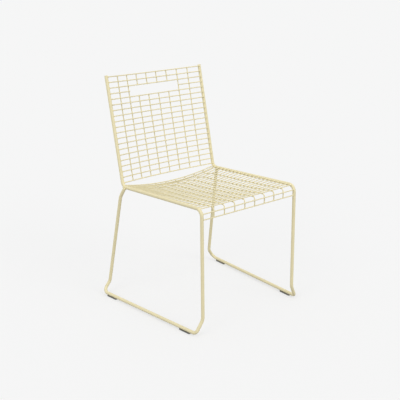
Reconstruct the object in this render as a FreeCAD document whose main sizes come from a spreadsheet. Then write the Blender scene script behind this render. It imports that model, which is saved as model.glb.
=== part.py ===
import FreeCAD, Part
import math
import os
import Sketcher

# Wire mesh chair: a stacking sled chair welded from bent round steel rod and thin wire.
# World axes: +X to the sitter's left, +Y to the back, +Z up. Lengths in millimetres, angles in degrees.
# Depths are counted from the front row of the seat; the last step puts the origin on the floor
# under the middle of the chair.

OUT_FOLDER = "parts"
VOLUME_TOLERANCE = 0.005
BACK_ROWS = 20
SEAT_ROWS = 22
COLUMNS = 8
FRONT_ROWS = 2
# The hand slot leaves out the middle of one row, and the columns between its two neighbours.
SLOT_ROW = 3
SLOT_COLUMNS = range(3, 7)
# Faces round a rod and round a wire, rows of the seat from one bend of a column's dish to the
# next, and straight steps in its front bend.
ROD_SIDES = 20
WIRE_SIDES = 8
SEAT_STEP = 3
BEND_STEPS = 4

SIZES = {
    "rod_diameter": 12.0,
    "wire_diameter": 4.0,
    "frame_half_width": 218.5,
    "mesh_pitch": 20.2,
    "column_pitch": 46.8,
    "wire_overhang": 2.5,
    "seat_height": 446.4,
    "seat_fall_degrees": 2.0,
    "dish_front": 1.2,
    "dish_middle": 16.3,
    "dish_rear": 21.2,
    "rail_below_front": 0.6,
    "rail_below_rear": 4.5,
    "front_drop_reach": 12.5,
    "front_first_drop": 16.1,
    "front_leg_set_back": 1.0,
    "back_lean_degrees": 12.35,
    "back_bow": 29.0,
    "back_above_rim": 10.3,
    "post_behind_mesh": 5.4,
    "post_overhang": 6.0,
    "front_bend_radius": 24.0,
    "rear_bend_radius": 22.0,
    "front_kink_radius": 40.0,
    "front_foot_radius": 16.0,
    "rear_kink_radius": 30.0,
    "rear_foot_radius": 20.0,
    "rear_leg_radius": 60.0,
    "runner_height": 10.0,
    "front_kink_half_width": 217.4,
    "front_kink_depth": -16.1,
    "front_kink_height": 56.5,
    "front_foot_half_width": 243.5,
    "front_foot_depth": -10.0,
    "rear_foot_half_width": 277.2,
    "rear_foot_depth": 491.0,
    "rear_kink_half_width": 250.2,
    "rear_kink_depth": 486.1,
    "rear_kink_height": 48.3,
    "rear_bend_half_width": 232.3,
    "rear_bend_behind_weld": 17.5,
    "rear_bend_below_seat": 53.4,
    "rear_weld_before_rim": 16.4,
    "bar_diameter": 6.0,
    "bar_behind_rim": 1.2,
    "glide_length": 52.0,
    "glide_width": 12.6,
    "glide_height": 5.4,
    "glide_corner": 3.0,
    "glide_edge": 1.0,
    "glide_clearance": 0.1,
    "front_glide_depth": 43.0,
    "rear_glide_depth": 438.0,
}

doc = FreeCAD.newDocument("wire_mesh_chair")
sheet = doc.addObject("Spreadsheet::Sheet", "dims")
for line, (alias, number) in enumerate(SIZES.items(), start=1):
    sheet.set(f"A{line}", alias)
    sheet.set(f"B{line}", str(number))
    sheet.setAlias(f"B{line}", alias)
doc.recompute()


def size(alias):
    return float(sheet.get(alias))


def vec(x, y, z):
    return FreeCAD.Vector(x, y, z)


ROD = size("rod_diameter") / 2
WIRE = size("wire_diameter") / 2
LAYER = 2 * WIRE
PITCH = size("mesh_pitch")
HALF_WIDTH = size("frame_half_width")


def reach(rise):
    """Half length of a row that ends on the inner side of a rod, its centre rise above the rod's."""
    foot = max(0.0, abs(rise) - WIRE)
    return HALF_WIDTH - math.sqrt(ROD ** 2 - foot ** 2)


def sag_at(x, half_span, bow):
    """Depth of a round bow below its chord, at x from the middle."""
    radius = (half_span ** 2 + bow ** 2) / (2 * bow)
    return math.sqrt(radius ** 2 - x ** 2) - (radius - bow)


def dish_at(share):
    """Depth of the seat's dish, from the front row (share 0) to the rim at the back (share 1)."""
    front = size("dish_front")
    middle = size("dish_middle")
    rear = size("dish_rear")
    rise = 4 * middle - 3 * front - rear
    curve = 2 * (front + rear - 2 * middle)
    return front + rise * share + curve * share ** 2


def rail_drop_at(share):
    """How far the seat rail's centre lies below the ends of the seat's rows."""
    front = size("rail_below_front")
    return front + (size("rail_below_rear") - front) * share


# Each sheet of mesh is a plane turned about X: its rows run along X, its columns along the sheet,
# and its face looks at the sitter. The drop in front of the seat stands upright.

SEAT_TURN = -size("seat_fall_degrees")
BACK_TURN = 90.0 - size("back_lean_degrees")


def along(turn):
    angle = math.radians(turn)
    return vec(0, math.cos(angle), math.sin(angle))


def face(turn):
    angle = math.radians(turn)
    return vec(0, -math.sin(angle), math.cos(angle))


SEAT_FRONT = vec(0, 0, size("seat_height"))
SEAT_RIM = SEAT_FRONT + along(SEAT_TURN) * PITCH * (SEAT_ROWS - 1)
BACK_BOTTOM = SEAT_RIM + vec(0, 0, size("back_above_rim"))
FRONT_DEPTH = -size("front_drop_reach")


def seat_row_centre(row):
    return SEAT_FRONT + along(SEAT_TURN) * PITCH * row


def back_row_centre(row):
    return BACK_BOTTOM + along(BACK_TURN) * PITCH * (BACK_ROWS - 1 - row)


def front_row_centre(row):
    return vec(0, FRONT_DEPTH, size("seat_height") - size("front_first_drop") - row * PITCH)


def column_x(column):
    return (column - (COLUMNS + 1) / 2) * size("column_pitch")


NODES = []
BAR_VOLUMES = {}


def keep(part, node):
    """Gives a finished piece its node name and puts it on the list of pieces."""
    part.Label = node
    NODES.append(part)
    return part


def group(name, pieces, node):
    """Puts like pieces, each a solid of its own, in one node."""
    compound = doc.addObject("Part::Compound", name)
    compound.Links = pieces
    return keep(compound, node)


def mirrored(name, source):
    """The same piece on the other side of the chair."""
    twin = doc.addObject("Part::Mirroring", name)
    twin.Source = source
    twin.Normal = vec(1, 0, 0)
    return twin


# Bars: a regular section, its flats one diameter apart, swept along a path.
# The thin wires have few sides and run straight from weld to weld, since there are many of them.

def bent_path(points, radii):
    """A wire through the points, each inner point rounded by its own radius."""
    edges = []
    start = points[0]
    for before, corner, after, radius in zip(points, points[1:], points[2:], radii):
        back = (before - corner).normalize()
        ahead = (after - corner).normalize()
        inward = (back + ahead).normalize()
        half_angle = back.getAngle(ahead) / 2
        setback = radius / math.tan(half_angle)
        first = corner + back * setback
        middle = corner + inward * (radius / math.sin(half_angle) - radius)
        last = corner + ahead * setback
        edges.append(Part.LineSegment(start, first).toShape())
        edges.append(Part.Arc(first, middle, last).toShape())
        start = last
    edges.append(Part.LineSegment(start, points[-1]).toShape())
    return Part.Wire(edges)


def bar_section(name, point, way, across, diameter, sides):
    """A regular section square to way, one of its flats facing across."""
    section = doc.addObject("Part::RegularPolygon", name)
    section.Polygon = sides
    section.setExpression("Circumradius", f"dims.{diameter} / 2 / cos(180 / {sides})")
    half_side = FreeCAD.Rotation(vec(0, 0, 1), 180 / sides)
    turn = FreeCAD.Rotation(across, way.cross(across), way, "ZXY")
    section.Placement = FreeCAD.Placement(point, turn.multiply(half_side))
    return section


def note_volume(bar, length, diameter, sides):
    area = sides * (size(diameter) / 2) ** 2 * math.tan(math.pi / sides)
    BAR_VOLUMES[bar.Name] = area * length


def smooth_bar(name, path, across):
    """A rod swept along straight runs and round bends. across is square to the path's start."""
    spine = doc.addObject("Part::Feature", name + "_path")
    spine.Shape = path
    start, second = [vertex.Point for vertex in path.OrderedVertexes[:2]]
    way = (second - start).normalize()
    section = bar_section(name + "_section", start, way, across, "rod_diameter", ROD_SIDES)
    bar = doc.addObject("Part::Sweep", name)
    bar.Sections = [section]
    bar.Spine = (spine, [f"Edge{number + 1}" for number in range(len(path.Edges))])
    bar.Solid = True
    bar.Frenet = False
    note_volume(bar, path.Length, "rod_diameter", ROD_SIDES)
    return bar


def thin_bar(name, points, across, diameter="wire_diameter"):
    """A wire that is straight from point to point, in a plane square to across."""
    ways = [(end - start).normalize() for start, end in zip(points, points[1:])]
    sections = []
    for number, point in enumerate(points):
        way = (ways[max(number - 1, 0)] + ways[min(number, len(ways) - 1)]).normalize()
        label = f"{name}_section_{number + 1}"
        sections.append(bar_section(label, point, way, across, diameter, WIRE_SIDES))
    bar = doc.addObject("Part::Loft", name)
    bar.Sections = sections
    bar.Solid = True
    bar.Ruled = True
    note_volume(bar, Part.makePolygon(points).Length, diameter, WIRE_SIDES)
    return bar


# Side frames: back post, seat rail, front leg, runner and rear leg are one bent rod,
# whose far end is welded back on to its own seat rail

POST_SHIFT = face(BACK_TURN) * -size("post_behind_mesh")
POST_BOTTOM = BACK_BOTTOM + POST_SHIFT
POST_TOP = back_row_centre(0) + POST_SHIFT + along(BACK_TURN) * size("post_overhang")
RAIL_FRONT = SEAT_FRONT - face(SEAT_TURN) * size("rail_below_front")
RAIL_REAR = SEAT_RIM - face(SEAT_TURN) * size("rail_below_rear")
LEG_TOP = front_row_centre(0) + vec(0, size("front_leg_set_back"), 0)
FRONT_KINK = vec(0, size("front_kink_depth"), size("front_kink_height"))


def rail_point(depth):
    share = (depth - RAIL_FRONT.y) / (RAIL_REAR.y - RAIL_FRONT.y)
    return RAIL_FRONT + (RAIL_REAR - RAIL_FRONT) * share


def line_meeting(point_a, way_a, point_b, way_b):
    """Where two lines in the side view cross."""
    gap = point_b - point_a
    share = (gap.y * way_b.z - gap.z * way_b.y) / (way_a.y * way_b.z - way_a.z * way_b.y)
    return point_a + way_a * share


def at_side(point, half_width):
    return vec(half_width, point.y, point.z)


def side_frame_points():
    """Corners of the left side frame's centre line, from the post's top to the weld."""
    runner = size("runner_height")
    rail_way = RAIL_REAR - RAIL_FRONT
    rear_corner = line_meeting(POST_BOTTOM, along(BACK_TURN), RAIL_FRONT, rail_way)
    front_corner = line_meeting(FRONT_KINK, LEG_TOP - FRONT_KINK, RAIL_FRONT, rail_way)
    weld = rail_point(SEAT_RIM.y - size("rear_weld_before_rim"))
    bend_depth = weld.y + size("rear_bend_behind_weld")
    bend_height = size("seat_height") - size("rear_bend_below_seat")
    return [
        at_side(POST_TOP, HALF_WIDTH),
        at_side(rear_corner, HALF_WIDTH),
        at_side(front_corner, HALF_WIDTH),
        at_side(FRONT_KINK, size("front_kink_half_width")),
        vec(size("front_foot_half_width"), size("front_foot_depth"), runner),
        vec(size("rear_foot_half_width"), size("rear_foot_depth"), runner),
        vec(size("rear_kink_half_width"), size("rear_kink_depth"), size("rear_kink_height")),
        vec(size("rear_bend_half_width"), bend_depth, bend_height),
        at_side(weld, HALF_WIDTH + ROD),
    ]


FRAME_POINTS = side_frame_points()
FRONT_FOOT = FRAME_POINTS[4]
REAR_FOOT = FRAME_POINTS[5]


def build_side_frames():
    radii = [
        size("rear_bend_radius"),
        size("front_bend_radius"),
        size("front_kink_radius"),
        size("front_foot_radius"),
        size("rear_foot_radius"),
        size("rear_kink_radius"),
    ]
    # The rod is swept to half way up the rear leg, and from there to the weld under the seat rail.
    half_way = (FRAME_POINTS[6] + FRAME_POINTS[7]) / 2
    main_path = bent_path(FRAME_POINTS[:7] + [half_way], radii)
    top_path = bent_path([half_way] + FRAME_POINTS[7:], [size("rear_leg_radius")])
    main = smooth_bar("frame_rod", main_path, vec(1, 0, 0))
    across = vec(1, 0, 0).cross(FRAME_POINTS[7] - half_way).normalize()
    top = smooth_bar("rear_leg_top", top_path, across)
    frame = doc.addObject("Part::Fuse", "frame_left")
    frame.Base = main
    frame.Tool = top
    frame.Refine = True
    keep(frame, "left_side_frame")
    keep(mirrored("frame_right", frame), "right_side_frame")
    return main_path


# Rows: wires across the chair, bowed away from the sitter and straight between the columns

def bow_points(half_span, bow, middle, turn):
    """Corners of a bowed row, from the right end to the left end."""
    stations = [-half_span]
    stations += [column_x(column) for column in range(1, COLUMNS + 1)]
    stations.append(half_span)
    return [
        middle + vec(x, 0, 0) - face(turn) * sag_at(x, half_span, bow)
        for x in stations
    ]


def build_back_rows():
    half_span = reach(size("post_behind_mesh"))
    bow = size("back_bow")
    for row in range(BACK_ROWS):
        name = f"back_wire_{row + 1}"
        node = f"back_row_{row + 1:02d}"
        points = bow_points(half_span, bow, back_row_centre(row), BACK_TURN)
        if row != SLOT_ROW:
            keep(thin_bar(name, points, along(BACK_TURN)), node)
            continue
        # On each side of the slot a stub is left, which ends just past its last column.
        points = points[SLOT_COLUMNS.stop:]
        inward = (points[0] - points[1]).normalize()
        points.insert(0, points[0] + inward * size("wire_overhang"))
        stub = thin_bar(name, points, along(BACK_TURN))
        group("slot_stubs", [stub, mirrored("slot_stub_twin", stub)], node)


def build_seat_rows():
    for row in range(SEAT_ROWS):
        share = row / (SEAT_ROWS - 1)
        half_span = reach(rail_drop_at(share))
        points = bow_points(half_span, dish_at(share), seat_row_centre(row), SEAT_TURN)
        keep(thin_bar(f"seat_wire_{row + 1}", points, along(SEAT_TURN)), f"seat_row_{row + 1:02d}")


def build_front_rows():
    side = vec(reach(size("front_leg_set_back")), 0, 0)
    for row in range(FRONT_ROWS):
        centre = front_row_centre(row)
        wire = thin_bar(f"front_wire_{row + 1}", [centre - side, centre + side], vec(0, 0, 1))
        keep(wire, f"front_drop_row_{row + 1}")


def build_rear_bar():
    """The bar lies under the ends of the seat's columns, bowed like the seat."""
    middle = SEAT_RIM - face(SEAT_TURN) * (WIRE + LAYER + size("bar_diameter") / 2)
    middle += along(SEAT_TURN) * size("bar_behind_rim")
    points = bow_points(HALF_WIDTH, dish_at(1), middle, SEAT_TURN)
    keep(thin_bar("rear_bar", points, along(SEAT_TURN), "bar_diameter"), "rear_cross_bar")


# Columns: wires behind the rows and under them, in pairs that are alike left and right

def back_column_point(column, row):
    x = column_x(column)
    bow = sag_at(x, reach(size("post_behind_mesh")), size("back_bow"))
    return back_row_centre(row) - face(BACK_TURN) * (bow + LAYER) + vec(x, 0, 0)


def build_back_columns():
    last_row = BACK_ROWS - 1
    overhang = along(BACK_TURN) * size("wire_overhang")
    for pair in range(COLUMNS // 2):
        column = COLUMNS - pair
        runs = [(0, last_row)]
        if column in SLOT_COLUMNS:
            runs = [(0, SLOT_ROW - 1), (SLOT_ROW + 1, last_row)]
        pieces = []
        for number, (top, bottom) in enumerate(runs):
            name = f"back_column_{pair + 1}_{number + 1}"
            start = back_column_point(column, bottom) - overhang
            end = back_column_point(column, top) + overhang
            wire = thin_bar(name, [start, end], vec(1, 0, 0))
            pieces += [wire, mirrored(name + "_twin", wire)]
        group(f"back_columns_{pair + 1}", pieces, f"back_column_pair_{pair + 1}")


def seat_column_point(column, row):
    x = column_x(column)
    share = row / (SEAT_ROWS - 1)
    dish = sag_at(x, reach(rail_drop_at(share)), dish_at(share))
    return seat_row_centre(row) - face(SEAT_TURN) * (dish + LAYER) + vec(x, 0, 0)


def seat_column_points(column):
    """From the rim along the dish, round the front edge and down to below the last row."""
    points = [seat_column_point(column, row) for row in range(SEAT_ROWS - 1, -1, -SEAT_STEP)]
    rim_way = (points[0] - points[1]).normalize()
    way = (points[-1] - points[-2]).normalize()
    front = points[-1]
    points.insert(0, points[0] + rim_way * size("wire_overhang"))
    # The bend is the one round that leaves the dish at the front row and ends on the drop's plane.
    drop_depth = FRONT_DEPTH + LAYER
    radius = (front.y - drop_depth) / (1 + way.z)
    centre = front - vec(0, way.z, -way.y) * radius
    full_turn = math.pi / 2 + math.asin(way.z)
    for step in range(1, BEND_STEPS + 1):
        angle = math.pi - full_turn * (1 - step / BEND_STEPS)
        points.append(centre + vec(0, math.cos(angle), math.sin(angle)) * radius)
    end_height = front_row_centre(FRONT_ROWS - 1).z - size("wire_overhang")
    points.append(vec(front.x, drop_depth, end_height))
    return points


def build_seat_columns():
    for pair in range(COLUMNS // 2):
        name = f"seat_column_{pair + 1}"
        wire = thin_bar(name, seat_column_points(COLUMNS - pair), vec(1, 0, 0))
        twin = mirrored(name + "_twin", wire)
        group(f"seat_columns_{pair + 1}", [wire, twin], f"seat_column_pair_{pair + 1}")


# Glides: plastic pads under the runners, hollowed to hold the rod

def origin_plane(body, role):
    return [item for item in body.Origin.OriginFeatures if item.Role == role][0]


def glide_outline(sketch):
    """A block centred on the sketch, its sizes held by constraints."""
    x = size("glide_length") / 2
    y = size("glide_width") / 2
    corners = [vec(x, y, 0), vec(-x, y, 0), vec(-x, -y, 0), vec(x, -y, 0)]
    for start, end in zip(corners, corners[1:] + corners[:1]):
        sketch.addGeometry(Part.LineSegment(start, end), False)
    for side, level in enumerate(("Horizontal", "Vertical", "Horizontal", "Vertical")):
        sketch.addConstraint(Sketcher.Constraint("Coincident", side, 2, (side + 1) % 4, 1))
        sketch.addConstraint(Sketcher.Constraint(level, side))
    sketch.addConstraint(Sketcher.Constraint("Symmetric", 0, 1, 2, 1, -1, 1))
    length = sketch.addConstraint(Sketcher.Constraint("DistanceX", 0, 2, 0, 1, 2 * x))
    width = sketch.addConstraint(Sketcher.Constraint("DistanceY", 3, 1, 3, 2, 2 * y))
    sketch.renameConstraint(length, "length")
    sketch.renameConstraint(width, "width")
    sketch.setExpression("Constraints.length", "dims.glide_length")
    sketch.setExpression("Constraints.width", "dims.glide_width")


def chamfered(body, base, name, alias, chosen):
    """Cuts the edges whose box is chosen, as wide as a cell of the sheet says."""
    cut = body.newObject("PartDesign::Chamfer", name)
    edges = enumerate(base.Shape.Edges)
    cut.Base = (base, [f"Edge{number + 1}" for number, edge in edges if chosen(edge.BoundBox)])
    cut.setExpression("Size", f"dims.{alias}")
    body.Tip = cut
    doc.recompute()
    return cut


def build_glide(name, centre, node):
    body = doc.addObject("PartDesign::Body", name)
    outline = body.newObject("Sketcher::SketchObject", name + "_outline")
    outline.AttachmentSupport = [(origin_plane(body, "XY_Plane"), "")]
    outline.MapMode = "FlatFace"
    glide_outline(outline)
    block = body.newObject("PartDesign::Pad", name + "_block")
    block.Profile = outline
    block.setExpression("Length", "dims.glide_height")
    doc.recompute()
    half_height = size("glide_height") / 2
    chamfered(body, block, name + "_corners", "glide_corner", lambda box: box.ZLength > half_height)
    section = body.newObject("Sketcher::SketchObject", name + "_seat_section")
    section.AttachmentSupport = [(origin_plane(body, "YZ_Plane"), "")]
    section.MapMode = "FlatFace"
    hollow = ROD + size("glide_clearance")
    section.addGeometry(Part.Circle(vec(0, size("runner_height"), 0), vec(0, 0, 1), hollow), False)
    section.addConstraint(Sketcher.Constraint("PointOnObject", 0, 3, -2))
    height = section.addConstraint(
        Sketcher.Constraint("DistanceY", -1, 1, 0, 3, size("runner_height"))
    )
    radius = section.addConstraint(Sketcher.Constraint("Radius", 0, hollow))
    section.renameConstraint(height, "runner_height")
    section.renameConstraint(radius, "hollow_radius")
    section.setExpression("Constraints.runner_height", "dims.runner_height")
    section.setExpression("Constraints.hollow_radius", "dims.rod_diameter / 2 + dims.glide_clearance")
    doc.recompute()
    seat = body.newObject("PartDesign::Pocket", name + "_seat")
    seat.Profile = section
    seat.Midplane = True
    seat.setExpression("Length", "dims.glide_length + dims.glide_width")
    body.Tip = seat
    doc.recompute()
    low = size("glide_edge") / 2
    chamfered(body, seat, name + "_edges", "glide_edge", lambda box: box.ZMax < low)
    way = REAR_FOOT - FRONT_FOOT
    body.Placement = FreeCAD.Placement(centre, FreeCAD.Rotation(vec(1, 0, 0), way))
    return keep(body, node)


def runner_point(depth):
    share = (depth - FRONT_FOOT.y) / (REAR_FOOT.y - FRONT_FOOT.y)
    point = FRONT_FOOT + (REAR_FOOT - FRONT_FOOT) * share
    return vec(point.x, point.y, 0)


def build_glides():
    for end in ("front", "rear"):
        centre = runner_point(size(f"{end}_glide_depth"))
        glide = build_glide(f"glide_{end}", centre, f"glide_left_{end}")
        keep(mirrored(f"glide_{end}_twin", glide), f"glide_right_{end}")


def move_to_centre(path):
    """Moves every piece so that the origin is under the middle of the chair's depth."""
    doc.recompute()
    front = path.BoundBox.YMin - ROD
    rear = path.BoundBox.YMax + ROD
    for part in NODES:
        if part.Label.startswith("back_column"):
            rear = max(rear, part.Shape.BoundBox.YMax)
    move = FreeCAD.Placement(vec(0, -(front + rear) / 2, 0), FreeCAD.Rotation())
    for part in NODES:
        # A mirrored piece follows the one it is made from.
        if part.TypeId != "Part::Mirroring":
            part.Placement = move.multiply(part.Placement)
    doc.recompute()


def check_document():
    for item in doc.Objects:
        if "Invalid" in item.State or "Error" in item.State:
            raise RuntimeError(f"{item.Label} failed: {item.State}")
    for part in NODES:
        if part.Shape.isNull() or not part.Shape.isValid():
            raise RuntimeError(f"{part.Label} has no valid shape")


def check_bar_volumes():
    """A bar of one section along a path holds its section times its length."""
    for name, wanted in BAR_VOLUMES.items():
        held = doc.getObject(name).Shape.Volume
        if abs(held - wanted) > wanted * VOLUME_TOLERANCE:
            raise RuntimeError(f"{name} holds {held:.0f} cubic mm, not {wanted:.0f}")


def write_parts():
    os.makedirs(OUT_FOLDER, exist_ok=True)
    for part in NODES:
        part.Shape.exportStep(os.path.join(OUT_FOLDER, part.Label + ".step"))


frame_path = build_side_frames()
build_rear_bar()
build_glides()
build_back_rows()
build_back_columns()
build_seat_rows()
build_front_rows()
build_seat_columns()
move_to_centre(frame_path)
check_document()
check_bar_volumes()
write_parts()
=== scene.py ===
import math

import bmesh
import bpy
from bpy.props import FloatProperty, FloatVectorProperty, PointerProperty
from mathutils import Matrix, Vector
from mathutils.geometry import interpolate_bezier, intersect_line_line


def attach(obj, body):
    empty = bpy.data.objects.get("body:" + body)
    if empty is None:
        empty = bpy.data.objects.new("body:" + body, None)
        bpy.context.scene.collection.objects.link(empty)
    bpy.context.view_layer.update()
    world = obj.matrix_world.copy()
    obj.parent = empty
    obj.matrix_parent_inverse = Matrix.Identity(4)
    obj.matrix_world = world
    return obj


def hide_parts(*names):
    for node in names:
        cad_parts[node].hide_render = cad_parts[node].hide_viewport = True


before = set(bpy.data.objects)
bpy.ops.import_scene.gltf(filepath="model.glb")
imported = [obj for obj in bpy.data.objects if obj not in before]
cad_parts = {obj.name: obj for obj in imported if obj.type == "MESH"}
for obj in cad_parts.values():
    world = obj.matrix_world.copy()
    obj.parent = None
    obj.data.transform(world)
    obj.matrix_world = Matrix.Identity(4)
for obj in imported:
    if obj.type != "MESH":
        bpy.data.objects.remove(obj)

bl_info = {
    "name": "Wire mesh chair",
    "version": (1, 0, 0),
    "blender": (4, 5, 0),
    "location": "View3D > Sidebar > Chair",
    "description": "Dresses the wire mesh chair and sets its studio",
    "category": "Object",
}

# Lengths are in metres. +X is to the sitter's left, +Y to the back of the chair, +Z up.

BODY = "root"
ACROSS = Vector((1, 0, 0))
UP = Vector((0, 0, 1))


def nodes_named(start):
    """The frame's nodes whose names start so, in order."""
    return sorted(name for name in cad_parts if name.startswith(start))


BACK_ROWS = nodes_named("back_row")
SEAT_ROWS = nodes_named("seat_row")
FRONT_ROWS = nodes_named("front_drop_row")
BACK_COLUMNS = nodes_named("back_column")
SEAT_COLUMNS = nodes_named("seat_column")
GLIDES = nodes_named("glide")
SIDE_FRAMES = ["left_side_frame", "right_side_frame"]
SLOT_ROW = "back_row_04"
REAR_BAR = "rear_cross_bar"
COAT_MATERIAL = "satin_powder_coat"
GLIDE_MATERIAL = "moulded_glide_plastic"

# Reading the frame. Its wires have WIRE_CORNERS corners in each section and its rods ROD_CORNERS,
# all of them nearer than ROD_REACH to the rod's centre line. Edges are parallel when the sine of
# the angle between them is less than PARALLEL.
WIRE_CORNERS = 8
ROD_CORNERS = 20
ROD_REACH = 0.010
SHORTEST_RUN = 0.010
PARALLEL = 0.0001
SAME_CORNER = 0.00001
FLAT_ANGLE = math.radians(1)

# How finely the round pieces are divided.
WIRE_SIDES = 12
ROD_SIDES = 32
BEND_STEP = math.radians(5)
STEPS_PER_SPAN = 5
END_STEPS = 4
WELD_DETAIL = 2
GLIDE_EDGE_STEPS = 3
SHARP_METAL_EDGE = math.radians(50)
SHARP_GLIDE_EDGE = math.radians(40)

# Welds. A nugget's height is a share of the wire's radius, and a weld at a wire's end reaches past
# that end by a share of its own size. A bead's pitch and the longest gap that it bridges are in
# half thicknesses of the bead, and the run of leg that is searched for it is in radii of the rod.
NUGGET_HEIGHT = 0.6
END_WELD_REACH = 0.1
BAR_WELD_STRETCH = 2
DROP_PITCH = 0.7
LONGEST_BRIDGE = 3.5
JOINT_REACH = 3
JOINT_TURNS = 40
JOINT_STEPS = 90

# Share of open sky round a point where the painted corner shade is full, and where there is none.
TIGHT = 0.25
OPEN = 0.75

CAMERA_PLACE = Vector((-1.8687, -2.1828, 1.2713))
CAMERA_REACH = 200.0
SENSOR_WIDTH = 36.0
FLOOR_HALF_WIDTH = 40.0
BLACK = (0.0, 0.0, 0.0, 1.0)


# Settings

def length(name, description, default):
    return FloatProperty(name=name, description=description, default=default,
                         min=0.0, precision=5, subtype="DISTANCE", unit="LENGTH")


def amount(name, description, default):
    return FloatProperty(name=name, description=description, default=default, min=0.0)


def angle(name, description, degrees):
    return FloatProperty(name=name, description=description, default=math.radians(degrees),
                         subtype="ANGLE", unit="ROTATION")


def colour(name, description, default):
    return FloatVectorProperty(name=name, description=description, default=default,
                               size=4, min=0.0, max=1.0, subtype="COLOR")


class ChairMetalSettings(bpy.types.PropertyGroup):
    rod_diameter: length("Rod", "Diameter of the side frames' rod", 0.012)
    wire_diameter: length("Wire", "Diameter of the mesh wires", 0.004)
    bar_diameter: length("Rear bar", "Diameter of the bar under the seat's rear edge", 0.006)
    rod_end_round: length("Rod end", "Rounding at the cut ends of the rods", 0.0012)
    wire_end_round: length("Wire end", "Rounding at the cut ends of the wires", 0.0007)
    nugget_size: length("Nugget", "Half length of a weld nugget where wires cross", 0.0024)
    end_weld_size: length("End weld", "Half width of the weld at a wire's end", 0.0028)
    bead_size: length("Bead", "Half thickness of the weld beads on the rods", 0.0017)
    coat: colour("Coat", "Colour of the powder coat", (0.870, 0.785, 0.500, 1.0))
    # Painted shade: the coat's colour is darkened towards this one where other surfaces are near,
    # where shade falls.
    corner_shade_colour: colour("Painted corner shade", "Colour of the coat where it gathers in tight corners",
                            (0.60, 0.53, 0.31, 1.0))
    # How near another surface must be for the painted corner shade to darken the coat.
    corner_shade_reach: length("Corner reach", "How near two surfaces are where the coat gathers", 0.006)
    coat_gloss: amount("Gloss", "Strength of the powder coat's reflections", 0.38)
    roughness: amount("Roughness", "Roughness of the powder coat", 0.46)
    unevenness: amount("Unevenness", "How far the coat's roughness strays either way", 0.05)
    patch: length("Patch", "Size of the patches of even roughness", 0.03)
    wave: length("Orange peel", "Width of the coat's fine waves", 0.0015)
    wave_height: length("Orange peel height", "Height of the coat's fine waves", 0.00002)


class ChairGlideSettings(bpy.types.PropertyGroup):
    edge_round: length("Edge", "Rounding of the glides' edges", 0.0008)
    plastic: colour("Plastic", "Colour of the glides", (0.130, 0.127, 0.112, 1.0))
    scuff: colour("Scuff", "Colour of the glides where they have rubbed on floors",
                  (0.23, 0.22, 0.195, 1.0))
    scuff_size: length("Scuff size", "Size of the scuffed patches", 0.004)
    roughness: amount("Roughness", "Roughness of the glides", 0.55)
    unevenness: amount("Unevenness", "How far the glides' roughness strays either way", 0.12)
    patch: length("Patch", "Size of the patches of even roughness", 0.006)
    wave: length("Grain", "Width of the plastic's moulded grain", 0.0006)
    wave_height: length("Grain height", "Height of the plastic's moulded grain", 0.00002)


class ChairStageSettings(bpy.types.PropertyGroup):
    floor: colour("Floor", "Colour of the floor", (0.38, 0.376, 0.364, 1.0))
    backdrop: colour("Backdrop", "Colour of the background as the camera sees it",
                     (0.922, 0.922, 0.922, 1.0))
    floor_glow: colour("Floor glow", "Light that the camera sees on top of the floor's own",
                       (0.553, 0.558, 0.570, 1.0))
    sky_strength: amount("Sky", "Strength of the light from all round", 0.74)
    key_strength: amount("Key", "Strength of the main lamp", 0.73)
    key_turn: angle("Key turn", "Main lamp's turn about the vertical", 12.0)
    key_tilt: angle("Key tilt", "Main lamp's tilt from the vertical", 60.0)
    fill_strength: amount("Fill", "Strength of the second lamp", 0.60)
    fill_turn: angle("Fill turn", "Second lamp's turn about the vertical", -75.0)
    fill_tilt: angle("Fill tilt", "Second lamp's tilt from the vertical", 55.0)
    softness: angle("Softness", "Angle that each lamp fills", 35.0)
    lens: FloatProperty(name="Lens", description="Focal length in millimetres", default=73.71)
    camera_turn: angle("Camera turn", "Camera's turn about the vertical", -40.66)
    camera_pitch: angle("Camera pitch", "Camera's tilt below the horizon", 17.39)


# Shader nodes

def new_node(tree, kind, **values):
    """A node with some of its inputs or properties set."""
    node = tree.nodes.new(kind)
    for name, value in values.items():
        if name in node.inputs:
            node.inputs[name].default_value = value
        else:
            setattr(node, name, value)
    return node


def socket(sockets, identifier):
    """The socket of a node that has several of one name."""
    return next(item for item in sockets if item.identifier == identifier)


def new_group(name, inputs, output):
    """An empty shader group with one output, its input node and its output node."""
    group = bpy.data.node_groups.new(name, "ShaderNodeTree")
    for label, default in inputs.items():
        given = group.interface.new_socket(label, in_out="INPUT", socket_type="NodeSocketFloat")
        given.default_value = default
    group.interface.new_socket(output, in_out="OUTPUT", socket_type="NodeSocketFloat")
    return group, group.nodes.new("NodeGroupInput"), group.nodes.new("NodeGroupOutput")


def noise_in_metres(group, size, detail, roughness):
    """Noise on the piece's own coordinates, whose lumps are as wide as size says, in metres."""
    place = group.nodes.new("ShaderNodeTexCoord")
    per_metre = new_node(group, "ShaderNodeMath", operation="DIVIDE")
    per_metre.inputs[0].default_value = 1.0
    group.links.new(size, per_metre.inputs[1])
    noise = new_node(group, "ShaderNodeTexNoise", Detail=detail, Roughness=roughness)
    group.links.new(place.outputs["Object"], noise.inputs["Vector"])
    group.links.new(per_metre.outputs[0], noise.inputs["Scale"])
    return noise.outputs["Fac"]


def fine_waves_group():
    """Fine waves of a coat or a moulding, as a height in metres."""
    if "fine_waves" in bpy.data.node_groups:
        return bpy.data.node_groups["fine_waves"]
    inputs = {"Wave": 0.001, "Height": 0.00002}
    group, given, result = new_group("fine_waves", inputs, "Height")
    noise = noise_in_metres(group, given.outputs["Wave"], detail=2.0, roughness=0.55)
    scaled = new_node(group, "ShaderNodeMath", operation="MULTIPLY")
    group.links.new(noise, scaled.inputs[0])
    group.links.new(given.outputs["Height"], scaled.inputs[1])
    group.links.new(scaled.outputs[0], result.inputs["Height"])
    return group


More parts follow.
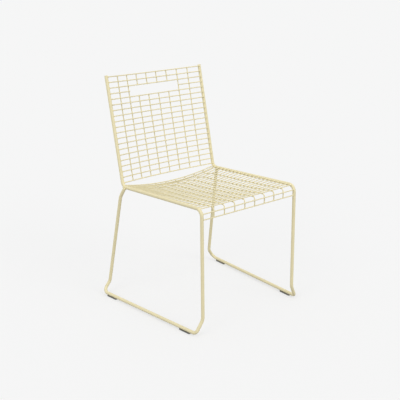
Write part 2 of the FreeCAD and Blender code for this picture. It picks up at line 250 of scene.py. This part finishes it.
def mottle_group():
    """Soft patches between two values, for a surface that isn't perfectly even."""
    if "mottle" in bpy.data.node_groups:
        return bpy.data.node_groups["mottle"]
    inputs = {"Patch": 0.01, "Low": 0.0, "High": 1.0}
    group, given, result = new_group("mottle", inputs, "Value")
    noise = noise_in_metres(group, given.outputs["Patch"], detail=4.0, roughness=0.6)
    spread = group.nodes.new("ShaderNodeMapRange")
    group.links.new(noise, spread.inputs["Value"])
    group.links.new(given.outputs["Low"], spread.inputs["To Min"])
    group.links.new(given.outputs["High"], spread.inputs["To Max"])
    group.links.new(spread.outputs["Result"], result.inputs["Value"])
    return group


def painted_corner_shade_group():
    """Mask for painted shade: 1 where another surface is close, 0 in the open."""
    if "painted_corner_shade" in bpy.data.node_groups:
        return bpy.data.node_groups["painted_corner_shade"]
    group, given, result = new_group("painted_corner_shade", {"Reach": 0.01}, "Mask")
    near = new_node(group, "ShaderNodeAmbientOcclusion", samples=8)
    group.links.new(given.outputs["Reach"], near.inputs["Distance"])
    ends = {"From Min": TIGHT, "From Max": OPEN, "To Min": 1.0, "To Max": 0.0}
    spread = new_node(group, "ShaderNodeMapRange", **ends)
    group.links.new(near.outputs["AO"], spread.inputs["Value"])
    group.links.new(spread.outputs["Result"], result.inputs["Mask"])
    return group


def blend_colours(tree, first, second, mask):
    """A colour that goes from first to second as the mask goes from 0 to 1."""
    mix = new_node(tree, "ShaderNodeMix", data_type="RGBA")
    socket(mix.inputs, "A_Color").default_value = first
    socket(mix.inputs, "B_Color").default_value = second
    tree.links.new(mask, mix.inputs["Factor"])
    return socket(mix.outputs, "Result_Color")


def use_group(tree, group, **values):
    """A node that uses the group, with its inputs set."""
    node = tree.nodes.new("ShaderNodeGroup")
    node.node_tree = group
    for name, value in values.items():
        node.inputs[name].default_value = value
    return node


def new_material(name):
    """A material, its node tree and its shader."""
    material = bpy.data.materials.new(name)
    material.use_nodes = True
    return material, material.node_tree, material.node_tree.nodes["Principled BSDF"]


def add_texture(tree, surface, settings):
    """Gives the shader patches of roughness and a fine waviness."""
    low = settings.roughness - settings.unevenness
    high = settings.roughness + settings.unevenness
    patches = use_group(tree, mottle_group(), Patch=settings.patch, Low=low, High=high)
    tree.links.new(patches.outputs["Value"], surface.inputs["Roughness"])
    waves = use_group(tree, fine_waves_group(), Wave=settings.wave, Height=settings.wave_height)
    bump = new_node(tree, "ShaderNodeBump", Distance=1.0, Strength=1.0)
    tree.links.new(waves.outputs["Height"], bump.inputs["Height"])
    tree.links.new(bump.outputs["Normal"], surface.inputs["Normal"])


def powder_coat():
    """The cream powder coat of every metal piece, with painted shade in its tight corners."""
    if COAT_MATERIAL in bpy.data.materials:
        return bpy.data.materials[COAT_MATERIAL]
    settings = bpy.context.scene.chair_metal
    material, tree, surface = new_material(COAT_MATERIAL)
    # Painted shade: the base colour darkens where other surfaces are near, by ambient occlusion.
    corners = use_group(tree, painted_corner_shade_group(), Reach=settings.corner_shade_reach)
    coat = blend_colours(tree, settings.coat, settings.corner_shade_colour, corners.outputs["Mask"])
    tree.links.new(coat, surface.inputs["Base Color"])
    surface.inputs["Specular IOR Level"].default_value = settings.coat_gloss
    add_texture(tree, surface, settings)
    return material


def glide_plastic():
    """The grey plastic of the glides."""
    if GLIDE_MATERIAL in bpy.data.materials:
        return bpy.data.materials[GLIDE_MATERIAL]
    settings = bpy.context.scene.chair_glides
    material, tree, surface = new_material(GLIDE_MATERIAL)
    scuffs = use_group(tree, mottle_group(), Patch=settings.scuff_size)
    plastic = blend_colours(tree, settings.plastic, settings.scuff, scuffs.outputs["Value"])
    tree.links.new(plastic, surface.inputs["Base Color"])
    add_texture(tree, surface, settings)
    return material


# Pieces

def merged_mesh(node):
    """The mesh of a node of the frame, with each of its corners once."""
    mesh = bmesh.new()
    mesh.from_mesh(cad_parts[node].data)
    bmesh.ops.remove_doubles(mesh, verts=mesh.verts, dist=SAME_CORNER)
    return mesh


def corners_of(node):
    """The corners of a node of the frame, each once."""
    mesh = merged_mesh(node)
    corners = [vertex.co.copy() for vertex in mesh.verts]
    mesh.free()
    return corners


def centre_line(corners, way):
    """Centres of a wire's sections, in order along way."""
    ordered = sorted(corners, key=way.dot)
    if not ordered or len(ordered) % WIRE_CORNERS:
        raise RuntimeError(f"{len(ordered)} corners don't make whole sections")
    starts = range(0, len(ordered), WIRE_CORNERS)
    sections = [ordered[start:start + WIRE_CORNERS] for start in starts]
    return [sum(section, Vector()) / WIRE_CORNERS for section in sections]


def sides_of(corners):
    """The corners right of the middle, and those left of it."""
    return [[co for co in corners if co.x < 0], [co for co in corners if co.x > 0]]


def run_ends(way, points, corners):
    """Both ends of a straight run's centre line, which is the axis of its fuller end ring."""
    places = [point.dot(way) for point in points]
    limits = (min(places), max(places))
    middle = sum(points, Vector()) / len(points)
    near = [co for co in corners if way.cross(co - middle).length < ROD_REACH]
    rings = [[co for co in near if abs(co.dot(way) - limit) < SAME_CORNER] for limit in limits]
    ring = max(rings, key=len)
    centre = sum(ring, Vector()) / len(ring)
    return [centre + way * (limit - centre.dot(way)) for limit in limits]


def straight_runs(node):
    """The straight runs of a bent rod, found by the parallel edges between its flat sides."""
    mesh = merged_mesh(node)
    groups = []
    for edge in mesh.edges:
        start, end = [vertex.co.copy() for vertex in edge.verts]
        if (end - start).length < SHORTEST_RUN:
            continue
        way = (end - start).normalized()
        alike = [points for other, points in groups if way.cross(other).length < PARALLEL]
        if alike:
            alike[0].extend((start, end))
        else:
            groups.append((way, [start, end]))
    mesh.free()
    corners = corners_of(node)
    return [run_ends(way, points, corners) for way, points in groups if len(points) > ROD_CORNERS]


def turn_about(middle, run):
    """Angle about a point, seen from the side, at which the middle of a run lies."""
    out = (run[0] + run[1]) / 2 - middle
    return math.atan2(out.z, out.y)


def frame_route(node):
    """Corners of a side frame's centre line and the radii of its bends, from the post's top on."""
    runs = straight_runs(node)
    middle = sum((end for run in runs for end in run), Vector()) / (2 * len(runs))
    post = max(runs, key=lambda run: max(end.z for end in run))
    post_turn = turn_about(middle, post)
    runs.sort(key=lambda run: (turn_about(middle, run) - post_turn) % math.tau)
    runs[0].sort(key=lambda end: -end.z)
    for before, run in zip(runs, runs[1:]):
        run.sort(key=lambda end: (end - before[1]).length)
    corners = [runs[0][0]]
    radii = []
    for before, after in zip(runs, runs[1:]):
        corner = sum(intersect_line_line(*before, *after), Vector()) / 2
        half = (before[0] - corner).angle(after[1] - corner) / 2
        corners.append(corner)
        radii.append((before[1] - corner).length * math.tan(half))
    return corners + [runs[-1][1]], radii


def rail_and_leg(node):
    """Ends of a side frame's seat rail, and of the last run of its rear leg."""
    corners = frame_route(node)[0]
    return corners[1:3], corners[-2:]


def add_piece(name, data, material, nodes=()):
    """Links a piece of the chair that rides on its body."""
    piece = bpy.data.objects.new(name, data)
    bpy.context.scene.collection.objects.link(piece)
    data.materials.append(material)
    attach(piece, BODY)
    if nodes:
        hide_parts(*nodes)
    return piece


def smooth_line(points):
    """Points on a smooth curve through the points given, a few for each span."""
    ways = []
    for before, here, after in zip(points, points[1:], points[2:]):
        back = here - before
        ahead = after - here
        share = back.normalized() * ahead.length + ahead.normalized() * back.length
        ways.append(share.normalized())
    if not ways:
        return points
    first = (points[1] - points[0]).normalized()
    last = (points[-1] - points[-2]).normalized()
    ways.insert(0, (first * 2 - ways[0]).normalized())
    ways.append((last * 2 - ways[-1]).normalized())
    line = []
    for start, end, leave, arrive in zip(points, points[1:], ways, ways[1:]):
        third = (end - start).length / 3
        handles = (start + leave * third, end - arrive * third)
        line += interpolate_bezier(start, *handles, end, STEPS_PER_SPAN + 1)[:-1]
    return line + [points[-1]]


def bent_line(corners, radii):
    """Points along straight runs, and round each inner corner by its own radius."""
    line = [corners[0]]
    for before, corner, after, radius in zip(corners, corners[1:], corners[2:], radii):
        back = (before - corner).normalized()
        ahead = (after - corner).normalized()
        half = back.angle(ahead) / 2
        centre = corner + (back + ahead).normalized() * radius / math.sin(half)
        start = corner + back * radius / math.tan(half)
        axis = back.cross(ahead)
        turn = math.pi - 2 * half
        count = math.ceil(turn / BEND_STEP)
        for number in range(count + 1):
            spin = Matrix.Rotation(-turn * number / count, 3, axis)
            line.append(centre + spin @ (start - centre))
    return line + [corners[-1]]


def rounded_end(radius, rounding):
    """Offsets from a tube's end and radii there, from its side to the edge of its flat cut."""
    steps = [math.pi / 2 * number / END_STEPS for number in range(END_STEPS + 1)]
    return [(rounding * (1 - math.sin(turn)), radius - rounding * (1 - math.cos(turn)))
            for turn in steps]


def add_tube(mesh, line, radius, sides, rounding):
    """A round tube along the line, closed at both ends, which are rounded if asked."""
    first = (line[1] - line[0]).normalized()
    last = (line[-1] - line[-2]).normalized()
    places = [(point, radius) for point in line]
    if rounding:
        ends = rounded_end(radius, rounding)
        places[:1] = [(line[0] + first * off, size) for off, size in reversed(ends)]
        places[-1:] = [(line[-1] - last * off, size) for off, size in ends]
    across = first.orthogonal().normalized()
    way = first
    rings = []
    for number, (point, size) in enumerate(places):
        before = places[max(number - 1, 0)][0]
        after = places[min(number + 1, len(places) - 1)][0]
        new_way = (after - before).normalized()
        across = way.rotation_difference(new_way) @ across
        across = (across - new_way * across.dot(new_way)).normalized()
        way = new_way
        side = way.cross(across)
        turns = [2 * math.pi * corner / sides for corner in range(sides)]
        rings.append([mesh.verts.new(point + (across * math.cos(turn) + side * math.sin(turn)) * size)
                      for turn in turns])
    for ring, following in zip(rings, rings[1:]):
        for corner in range(sides):
            beside = (corner + 1) % sides
            mesh.faces.new((ring[corner], ring[beside], following[beside], following[corner]))
    mesh.faces.new(reversed(rings[0]))
    mesh.faces.new(rings[-1])


def finished_mesh(name, mesh):
    """The mesh as Blender's own mesh data, ready for an object."""
    data = bpy.data.meshes.new(name)
    mesh.to_mesh(data)
    mesh.free()
    return data


def smooth_mesh(name, mesh, sharp_angle):
    """The same, shaded smooth but for its sharp edges."""
    for face in mesh.faces:
        face.smooth = True
    data = finished_mesh(name, mesh)
    data.set_sharp_from_angle(angle=sharp_angle)
    return data


def coated_piece(name, mesh, nodes=()):
    """Makes a coated piece from the mesh, smooth but for the edges of its cut ends."""
    return add_piece(name, smooth_mesh(name, mesh, SHARP_METAL_EDGE), powder_coat(), nodes)


def round_wire(name, lines, diameter, rounding=0.0, nodes=()):
    """Smooth round wire through each line of points."""
    mesh = bmesh.new()
    for line in lines:
        add_tube(mesh, smooth_line(line), diameter / 2, WIRE_SIDES, rounding)
    return coated_piece(name, mesh, nodes)


def row_line(node):
    """Centre line of a row from right to left, or of each of its two stubs."""
    corners = corners_of(node)
    parts = sides_of(corners) if node == SLOT_ROW else [corners]
    return [centre_line(part, ACROSS) for part in parts]


def back_column_lines(node):
    """Centre lines of a back column on each side, cut where the hand slot is."""
    lines = []
    for side in sides_of(corners_of(node)):
        ends = centre_line(side, UP)
        lines += [ends[start:start + 2] for start in range(0, len(ends), 2)]
    return lines


def seat_column_lines(node):
    """Centre lines of a seat column on each side, from below the front edge to the rim."""
    return [centre_line(side, Vector((0, 1, 1))) for side in sides_of(corners_of(node))]


def glide_pad(node, name, edge_round):
    """A smooth copy of a glide of the frame, its sharp edges slightly rounded."""
    mesh = merged_mesh(node)
    bmesh.ops.dissolve_limit(mesh, angle_limit=FLAT_ANGLE, verts=mesh.verts, edges=mesh.edges)
    data = smooth_mesh(name, mesh, SHARP_GLIDE_EDGE)
    piece = add_piece(name, data, glide_plastic(), [node])
    rounding = piece.modifiers.new("rounding", "BEVEL")
    rounding.width = edge_round
    rounding.segments = GLIDE_EDGE_STEPS
    rounding.limit_method = "ANGLE"
    rounding.angle_limit = SHARP_GLIDE_EDGE


def blobs(name, spots):
    """Small ellipsoids in one mesh. Each spot is its centre and its three half axes."""
    mesh = bmesh.new()
    for centre, axes in spots:
        shape = Matrix(axes).transposed().to_4x4()
        shape.translation = centre
        bmesh.ops.create_icosphere(mesh, subdivisions=WELD_DETAIL, radius=1.0, matrix=shape)
    return coated_piece(name, mesh)


def half_axes(way, along, around):
    """Half axes of an ellipsoid that is round about way."""
    across = way.orthogonal().normalized()
    return (way * along, across * around, way.cross(across) * around)


def nugget_spots(rows, columns_way, size, radius):
    """Weld nuggets where the columns cross the rows, between the two wires."""
    out = ACROSS.cross(columns_way)
    axes = (ACROSS * size, columns_way * size, out * radius * NUGGET_HEIGHT)
    spots = []
    for row in rows:
        for line in row_line(row):
            spots += [(point - out * radius, axes) for point in line[1:-1]]
    return spots


def end_weld_spots(rows, size):
    """Welds that join the ends of the rows to the rods."""
    spots = []
    for row in rows:
        line = [point for part in row_line(row) for point in part]
        for end, inner in ((line[0], line[1]), (line[-1], line[-2])):
            way = (end - inner).normalized()
            spots.append((end + way * size * END_WELD_REACH, half_axes(way, size, size)))
    return spots


def bar_weld_spots(bar_line, rail_height, size):
    """A weld on each side of the rear bar's ends, up against the seat rails."""
    spots = []
    for end in (bar_line[0], bar_line[-1]):
        for side in (-1, 1):
            middle = Vector((end.x, end.y + side * size, (end.z + rail_height) / 2))
            spots.append((middle, half_axes(ACROSS, size * BAR_WELD_STRETCH, size)))
    return spots


def leg_joint(leg_start, leg_end, rail_start, rail_end, radius):
    """Points where the rear leg's skin meets the seat rail's skin, in order round the leg."""
    way = (leg_end - leg_start).normalized()
    rail_way = (rail_end - rail_start).normalized()
    across = way.orthogonal().normalized()
    side = way.cross(across)
    found = []
    for number in range(JOINT_TURNS):
        turn = 2 * math.pi * number / JOINT_TURNS
        out = (across * math.cos(turn) + side * math.sin(turn)) * radius
        for step in range(JOINT_STEPS):
            point = leg_end + out - way * radius * JOINT_REACH * (1 - step / JOINT_STEPS)
            gap = point - rail_start
            if (gap - rail_way * gap.dot(rail_way)).length <= radius:
                found.append(point)
                break
    if not found:
        raise RuntimeError("The rear leg doesn't meet its seat rail")
    return found


def bead_spots(points, size):
    """A bead of small overlapping drops along a run of points, closed where its ends are near."""
    spots = []
    for start, end in zip(points, points[1:] + points[:1]):
        gap = (end - start).length
        if gap > size * LONGEST_BRIDGE:
            continue
        count = math.ceil(gap / (size * DROP_PITCH))
        for number in range(count):
            middle = start.lerp(end, number / count)
            spots.append((middle, half_axes(UP, size, size)))
    return spots


class CHAIR_OT_side_frames(bpy.types.Operator):
    """The two bent rods, each from the top of its post to the weld of its rear leg"""
    bl_idname = "chair.side_frames"
    bl_label = "Side frames"

    def execute(self, context):
        settings = context.scene.chair_metal
        for node in SIDE_FRAMES:
            line = bent_line(*frame_route(node))
            mesh = bmesh.new()
            add_tube(mesh, line, settings.rod_diameter / 2, ROD_SIDES, settings.rod_end_round)
            coated_piece(node + "_rod", mesh, [node])
        return {"FINISHED"}


class CHAIR_OT_mesh_rows(bpy.types.Operator):
    """The wires across the back, the seat and the front drop"""
    bl_idname = "chair.mesh_rows"
    bl_label = "Mesh rows"

    def execute(self, context):
        settings = context.scene.chair_metal
        for node in BACK_ROWS + SEAT_ROWS + FRONT_ROWS:
            rounding = settings.wire_end_round if node == SLOT_ROW else 0.0
            round_wire(node + "_wire", row_line(node), settings.wire_diameter, rounding, [node])
        return {"FINISHED"}


class CHAIR_OT_mesh_columns(bpy.types.Operator):
    """The wires behind the back's rows and under the seat's rows"""
    bl_idname = "chair.mesh_columns"
    bl_label = "Mesh columns"

    def execute(self, context):
        settings = context.scene.chair_metal
        lines = {node: back_column_lines(node) for node in BACK_COLUMNS}
        lines.update({node: seat_column_lines(node) for node in SEAT_COLUMNS})
        for node, wires in lines.items():
            round_wire(node + "_wires", wires, settings.wire_diameter, settings.wire_end_round,
                       [node])
        return {"FINISHED"}


class CHAIR_OT_rear_bar(bpy.types.Operator):
    """The bar under the seat's rear edge"""
    bl_idname = "chair.rear_bar"
    bl_label = "Rear bar"

    def execute(self, context):
        settings = context.scene.chair_metal
        line = centre_line(corners_of(REAR_BAR), ACROSS)
        round_wire(REAR_BAR + "_rod", [line], settings.bar_diameter, settings.rod_end_round,
                   [REAR_BAR])
        return {"FINISHED"}


class CHAIR_OT_welds(bpy.types.Operator):
    """Weld nuggets at the crossings, and welds at the ends of rows, bar and rear legs"""
    bl_idname = "chair.welds"
    bl_label = "Welds"

    def execute(self, context):
        settings = context.scene.chair_metal
        wire = settings.wire_diameter / 2
        rod = settings.rod_diameter / 2
        back_ends = back_column_lines(BACK_COLUMNS[0])[0]
        back_way = (back_ends[-1] - back_ends[0]).normalized()
        first = row_line(SEAT_ROWS[0])[0][0]
        last = row_line(SEAT_ROWS[-1])[0][0]
        seat_way = (last - first).normalized()
        size = settings.nugget_size
        blobs("back_weld_nuggets", nugget_spots(BACK_ROWS, back_way, size, wire))
        blobs("seat_weld_nuggets", nugget_spots(SEAT_ROWS, seat_way, size, wire))
        blobs("back_end_welds", end_weld_spots(BACK_ROWS, settings.end_weld_size))
        blobs("seat_end_welds", end_weld_spots(SEAT_ROWS + FRONT_ROWS, settings.end_weld_size))
        bar = centre_line(corners_of(REAR_BAR), ACROSS)
        rail_height = rail_and_leg(SIDE_FRAMES[0])[0][0].z
        blobs("rear_bar_welds", bar_weld_spots(bar, rail_height, settings.bead_size))
        for node in SIDE_FRAMES:
            rail, leg = rail_and_leg(node)
            joint = leg_joint(*leg, *rail, rod)
            blobs(node.replace("side_frame", "leg_weld"), bead_spots(joint, settings.bead_size))
        return {"FINISHED"}


class CHAIR_OT_glides(bpy.types.Operator):
    """The plastic pads under the runners"""
    bl_idname = "chair.glides"
    bl_label = "Glides"

    def execute(self, context):
        settings = context.scene.chair_glides
        for node in GLIDES:
            glide_pad(node, node + "_pad", settings.edge_round)
        return {"FINISHED"}


# Stage

def plain_view(tree):
    """1 for what the camera sees straight or in a gloss, 0 for light that falls on the chair."""
    ray = tree.nodes.new("ShaderNodeLightPath")
    seen = new_node(tree, "ShaderNodeMath", operation="MAXIMUM")
    tree.links.new(ray.outputs["Is Camera Ray"], seen.inputs[0])
    tree.links.new(ray.outputs["Is Glossy Ray"], seen.inputs[1])
    return seen.outputs[0]


def add_floor(settings):
    """A wide pale floor, which also fills the background."""
    mesh = bmesh.new()
    bmesh.ops.create_grid(mesh, x_segments=1, y_segments=1, size=FLOOR_HALF_WIDTH)
    data = finished_mesh("floor", mesh)
    material, tree, surface = new_material("floor_paper")
    surface.inputs["Base Color"].default_value = settings.floor
    glow = blend_colours(tree, BLACK, settings.floor_glow, plain_view(tree))
    tree.links.new(glow, surface.inputs["Emission Color"])
    surface.inputs["Emission Strength"].default_value = 1.0
    surface.inputs["Roughness"].default_value = 1.0
    surface.inputs["Specular IOR Level"].default_value = 0.0
    data.materials.append(material)
    floor = bpy.data.objects.new("floor", data)
    bpy.context.scene.collection.objects.link(floor)


def add_sun(name, strength, softness, turn, tilt):
    """A soft lamp far away, whose light comes from the way that its angles say."""
    lamp = bpy.data.lights.new(name, "SUN")
    lamp.energy = strength
    lamp.angle = softness
    sun = bpy.data.objects.new(name, lamp)
    sun.rotation_euler = (tilt, 0.0, turn)
    bpy.context.scene.collection.objects.link(sun)


def set_sky(scene, settings):
    """Even light from all round, which the camera sees in the backdrop's colour."""
    world = bpy.data.worlds.new("studio_sky")
    world.use_nodes = True
    scene.world = world
    tree = world.node_tree
    light = (settings.sky_strength,) * 3 + (1.0,)
    shade = blend_colours(tree, light, settings.backdrop, plain_view(tree))
    tree.links.new(shade, tree.nodes["Background"].inputs["Color"])
    tree.nodes["Background"].inputs["Strength"].default_value = 1.0


def add_camera(scene, settings):
    """The camera that took the photo, as its position and angles were worked out."""
    data = bpy.data.cameras.new("camera")
    data.lens = settings.lens
    data.sensor_width = SENSOR_WIDTH
    data.clip_end = CAMERA_REACH
    camera = bpy.data.objects.new("camera", data)
    camera.location = CAMERA_PLACE
    upright = math.pi / 2 - settings.camera_pitch
    camera.rotation_euler = (upright, 0.0, settings.camera_turn)
    scene.collection.objects.link(camera)
    scene.camera = camera


class CHAIR_OT_stage(bpy.types.Operator):
    """Floor, light and camera"""
    bl_idname = "chair.stage"
    bl_label = "Stage"

    def execute(self, context):
        scene = context.scene
        settings = scene.chair_stage
        add_floor(settings)
        set_sky(scene, settings)
        add_sun("key_lamp", settings.key_strength, settings.softness, settings.key_turn,
                settings.key_tilt)
        add_sun("fill_lamp", settings.fill_strength, settings.softness, settings.fill_turn,
                settings.fill_tilt)
        add_camera(scene, settings)
        scene.view_settings.view_transform = "Standard"
        return {"FINISHED"}


class CHAIR_PT_panel(bpy.types.Panel):
    """Settings and steps of the chair"""
    bl_idname = "CHAIR_PT_panel"
    bl_label = "Wire mesh chair"
    bl_space_type = "VIEW_3D"
    bl_region_type = "UI"
    bl_category = "Chair"

    def draw(self, context):
        scene = context.scene
        for settings in (scene.chair_metal, scene.chair_glides, scene.chair_stage):
            box = self.layout.box()
            for name in settings.__annotations__:
                box.prop(settings, name)
        for operator in OPERATORS:
            self.layout.operator(operator.bl_idname)


OPERATORS = [
    CHAIR_OT_side_frames,
    CHAIR_OT_mesh_rows,
    CHAIR_OT_mesh_columns,
    CHAIR_OT_rear_bar,
    CHAIR_OT_welds,
    CHAIR_OT_glides,
    CHAIR_OT_stage,
]
SETTINGS = {
    "chair_metal": ChairMetalSettings,
    "chair_glides": ChairGlideSettings,
    "chair_stage": ChairStageSettings,
}


def register():
    for item in [*SETTINGS.values(), *OPERATORS, CHAIR_PT_panel]:
        bpy.utils.register_class(item)
    for name, settings in SETTINGS.items():
        setattr(bpy.types.Scene, name, PointerProperty(type=settings))


def unregister():
    for name in SETTINGS:
        delattr(bpy.types.Scene, name)
    for item in [CHAIR_PT_panel, *reversed(OPERATORS), *SETTINGS.values()]:
        bpy.utils.unregister_class(item)


def main():
    register()
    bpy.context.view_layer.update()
    for operator in OPERATORS:
        family, name = operator.bl_idname.split(".")
        getattr(getattr(bpy.ops, family), name)()


if __name__ == "__main__":
    main()
